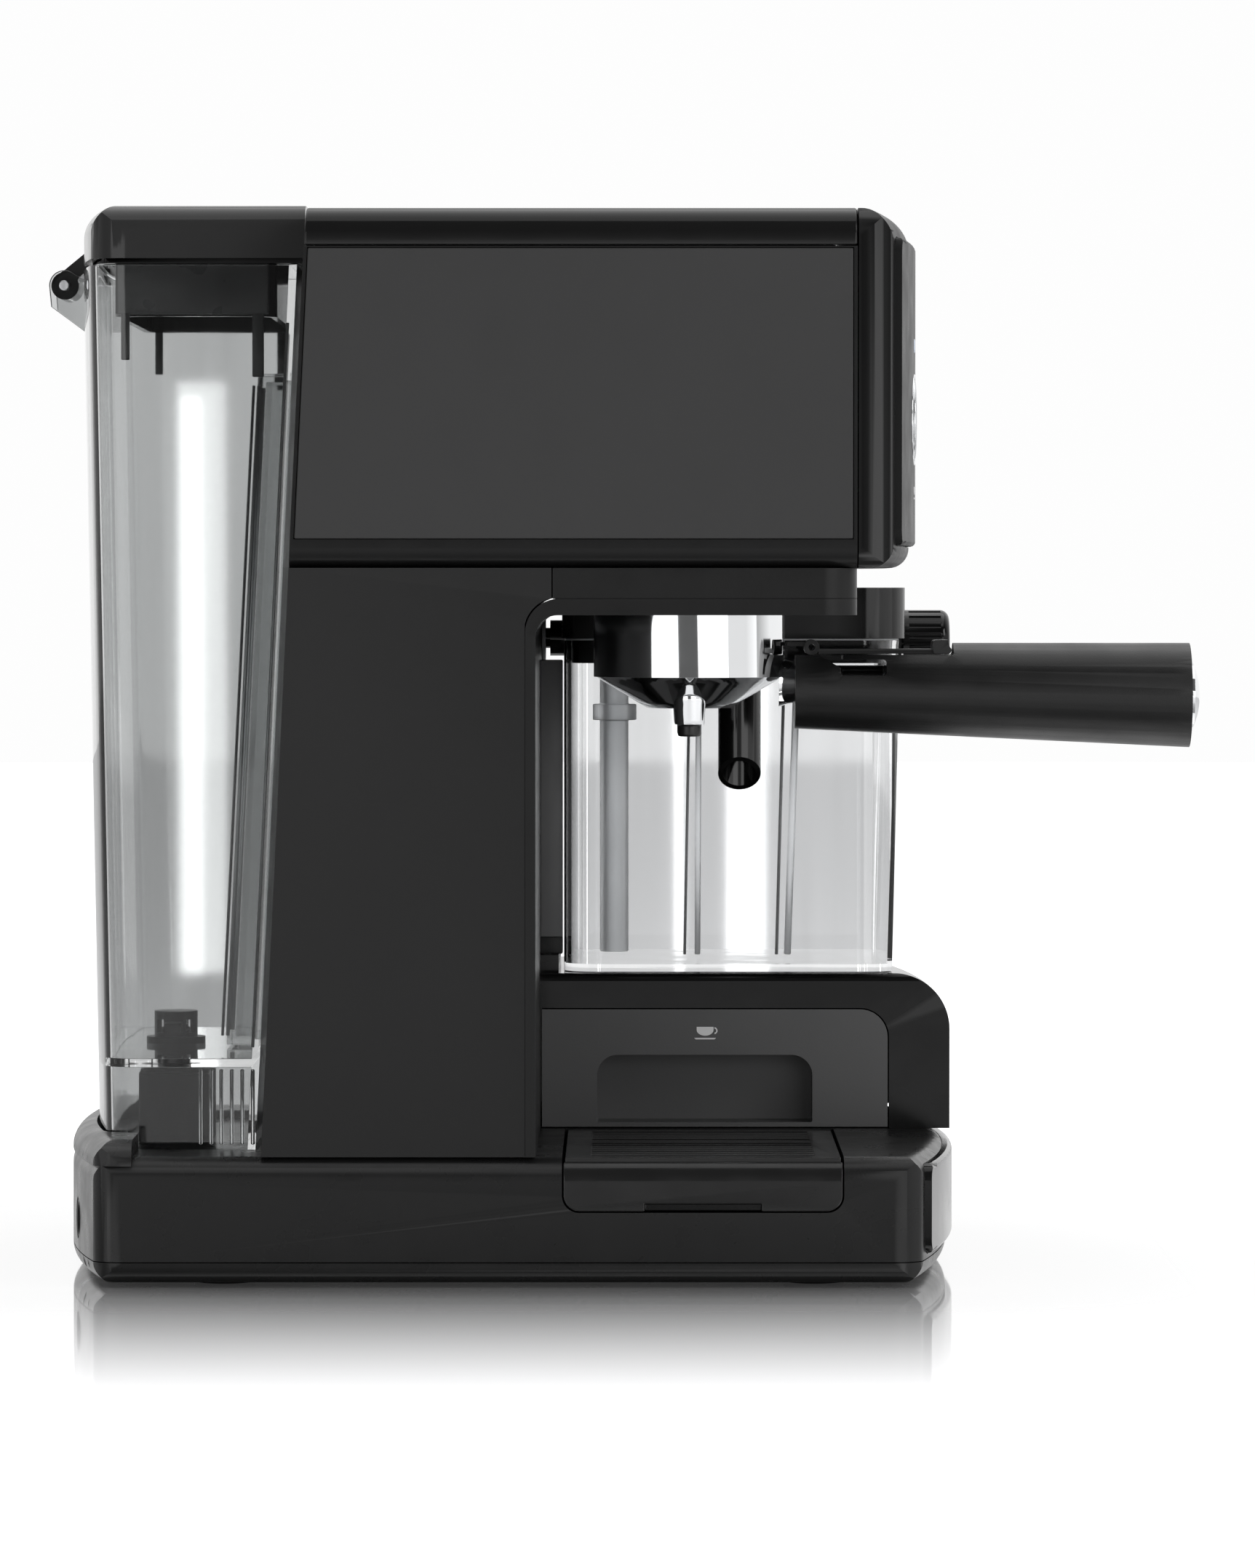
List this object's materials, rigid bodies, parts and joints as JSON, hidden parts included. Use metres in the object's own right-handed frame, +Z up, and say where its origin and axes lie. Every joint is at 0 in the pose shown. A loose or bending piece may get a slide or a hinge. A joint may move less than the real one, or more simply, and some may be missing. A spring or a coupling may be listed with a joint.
{
  "type": "espresso machine",
  "caption": "Home espresso machine with portafilter, cup bay and drip tray, removable milk tank with froth knob, and a lidded water tank behind.",
  "frame": {"origin": "on the table, under the centre of the whole machine's box", "axes": "+Z up, front with handle and buttons to -Y, cup bay on the -X side"},
  "size_m": [0.2269, 0.3463, 0.3166],
  "materials": {
    "black_gloss": "polished black",
    "black_satin": "fine-grained satin black",
    "grey_panel": "satin charcoal",
    "smoke_clear": "smoke-tinted clear plastic",
    "clear": "water-clear plastic",
    "milky": "translucent white",
    "chrome": "polished chrome",
    "steel": "brushed steel",
    "zinc": "cast",
    "rubber": "black rubber",
    "silicone": "white silicone",
    "seal_red": "moulded seal",
    "button_silver": "satin silver",
    "lens": "frosted lens",
    "board": "circuit board",
    "brass": "machined",
    "hose": "silicone hose"
  },
  "bodies": {
    "machine": {"base_pan": "black_satin", "feet": "rubber", "base_shell": "black_gloss", "base_front_plate": "black_gloss", "housing_screws": "steel", "cord_inlet": "rubber", "power_switch_frame": "black_satin", "column_shell": "grey_panel", "head_shell": "black_gloss", "top_cover": "black_gloss", "left_side_panel": "grey_panel", "right_side_panel": "grey_panel", "front_bezel": "black_gloss", "control_panel": "black_gloss", "indicator_lenses": "lens", "button_board": "board", "control_board": "board", "brew_head_cover": "grey_panel", "bay_liner": "black_gloss", "group_head": "zinc", "group_gasket": "seal_red", "shower_screen": "steel", "shower_screw": "steel", "boiler": "zinc", "thermostats": "milky", "solenoid_valve": "brass", "pump": "zinc", "pump_mounts": "rubber", "water_hose": "hose", "pressure_hose": "hose", "steam_hose": "hose", "steam_socket": "rubber", "tank_inlet": "black_satin", "milk_platform": "black_gloss"},
    "power_rocker": {"power_switch": "black_gloss"},
    "espresso_key": {"espresso_button": "button_silver"},
    "cappuccino_key": {"cappuccino_button": "button_silver"},
    "latte_key": {"latte_button": "button_silver"},
    "portafilter": {"portafilter_bowl": "chrome", "filter_basket": "steel", "portafilter_handle": "black_satin", "handle_end_cap": "chrome", "spout_nozzles": "chrome", "spout_tips": "rubber"},
    "clip": {"filter_clip": "black_satin"},
    "cup_drawer": {"small_cup_tray": "grey_panel"},
    "tray": {"drip_tray": "black_gloss"},
    "grid": {"drip_grid": "black_gloss"},
    "milk_unit": {"milk_tank": "clear", "milk_lid": "black_satin", "milk_lid_seal": "silicone", "milk_suction_tube": "milky"},
    "knob": {"froth_knob": "black_satin"},
    "spout": {"milk_spout": "black_gloss"},
    "tank": {"water_tank": "smoke_clear", "tank_hinge_pin": "steel", "tank_valve_body": "black_satin", "valve_spring": "steel"},
    "lid": {"tank_lid": "black_gloss"},
    "plunger": {"valve_plunger": "milky"}
  },
  "joints": [
    {"name": "tank_lift", "type": "slide", "parent": "machine", "child": "tank", "axis": [0, 0, 1], "range_m": [0, 0.1]},
    {"name": "lid_open", "type": "hinge", "parent": "tank", "child": "lid", "pos_m": [0, 0.1686, 0.2955], "axis": [-1, 0, 0], "range_deg": [0, 95]},
    {"name": "valve_close", "type": "slide", "parent": "tank", "child": "plunger", "axis": [0, 0, 1], "range_m": [-0.0024, 0], "deforming": ["valve_spring"]},
    {"name": "portafilter_turn", "type": "hinge", "parent": "machine", "child": "portafilter", "pos_m": [-0.052, -0.0206, 0.19], "axis": [0, 0, 1], "range_deg": [-45, 0]},
    {"name": "clip_lift", "type": "hinge", "parent": "portafilter", "child": "clip", "pos_m": [-0.052, -0.0571, 0.1861], "axis": [-1, 0, 0], "range_deg": [0, 22], "stiffness_Nm_per_rad": 0.02, "springref_deg": -17.19},
    {"name": "milk_unit_slide", "type": "slide", "parent": "machine", "child": "milk_unit", "axis": [0, -1, 0], "range_m": [0, 0.13]},
    {"name": "froth_knob_turn", "type": "hinge", "parent": "milk_unit", "child": "knob", "pos_m": [0.0565, -0.09, 0.1868], "axis": [0, -1, 0], "range_deg": [0, 270]},
    {"name": "spout_swing", "type": "hinge", "parent": "milk_unit", "child": "spout", "pos_m": [0.001, -0.0362, 0.19], "axis": [0, 0, 1], "range_deg": [0, 25]},
    {"name": "drip_tray_slide", "type": "slide", "parent": "machine", "child": "tray", "axis": [-1, 0, 0], "range_m": [0, 0.118]},
    {"name": "drip_grid_lift", "type": "slide", "parent": "tray", "child": "grid", "axis": [0, 0, 1], "range_m": [0, 0.006]},
    {"name": "cup_drawer_slide", "type": "slide", "parent": "machine", "child": "cup_drawer", "axis": [-1, 0, 0], "range_m": [0, 0.085]},
    {"name": "espresso_press", "type": "slide", "parent": "machine", "child": "espresso_key", "axis": [0, 1, 0], "range_m": [0, 0.0015], "stiffness_N_per_m": 600},
    {"name": "cappuccino_press", "type": "slide", "parent": "machine", "child": "cappuccino_key", "axis": [0, 1, 0], "range_m": [0, 0.0015], "stiffness_N_per_m": 600},
    {"name": "latte_press", "type": "slide", "parent": "machine", "child": "latte_key", "axis": [0, 1, 0], "range_m": [0, 0.0015], "stiffness_N_per_m": 600},
    {"name": "power_rock", "type": "hinge", "parent": "machine", "child": "power_rocker", "pos_m": [0.1085, 0.1062, 0.021], "axis": [0, 1, 0], "range_deg": [-12, 0]}
  ],
  "couplings": [
    {"joint": "valve_close", "follows": "tank_lift", "ratio": -0.024}
  ]
}
